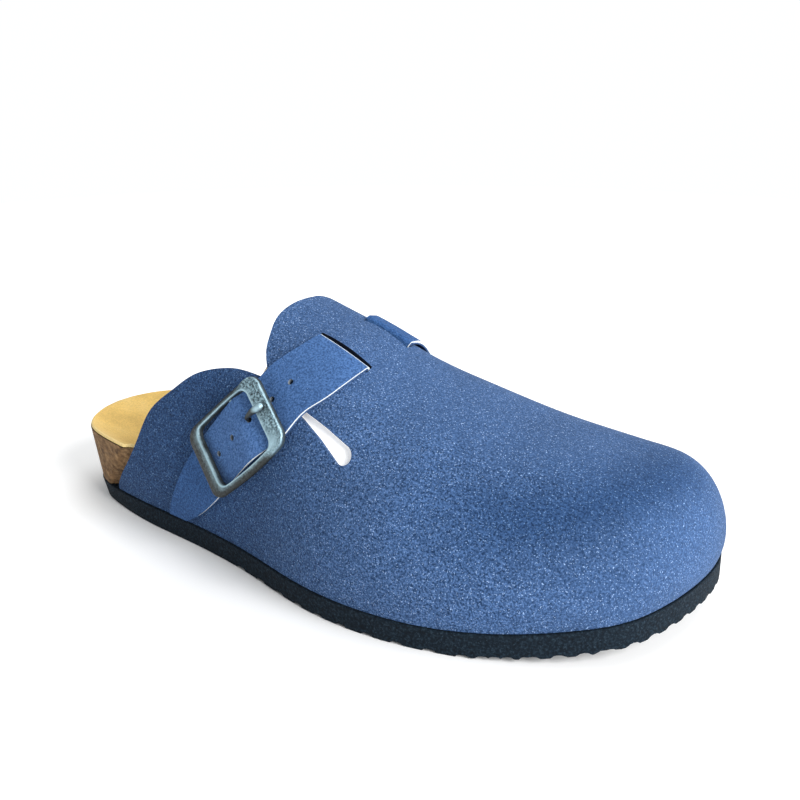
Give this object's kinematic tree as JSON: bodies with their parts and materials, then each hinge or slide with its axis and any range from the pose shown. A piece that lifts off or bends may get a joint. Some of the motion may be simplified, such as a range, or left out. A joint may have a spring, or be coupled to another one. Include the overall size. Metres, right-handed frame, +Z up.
{
  "type": "clog mule",
  "caption": "Closed-toe, open-back clog mule for the right foot: suede upper with a keyhole and a buckled instep strap, on a cork footbed and a ribbed outsole.",
  "frame": {"origin": "centre of the shoe's box on the ground plane", "axes": "+X towards the toe, +Y towards the medial side, +Z up"},
  "size_m": [0.2758, 0.1098, 0.0982],
  "materials": {
    "outsole_rubber": "matte speckled blue-black foam rubber",
    "cork": "matte mottled cork",
    "lining": "matte tan suede",
    "suede": "napped blue suede with pale cut edges",
    "strap_suede": "napped blue suede with pale cut edges",
    "buckle_metal": "satin antique pewter"
  },
  "bodies": {
    "root": {"outsole": "outsole_rubber", "cork_footbed": "cork", "insole": "lining", "upper": "suede", "strap": "strap_suede", "buckle_frame": "buckle_metal", "buckle_prong": "buckle_metal"}
  },
  "joints": []
}
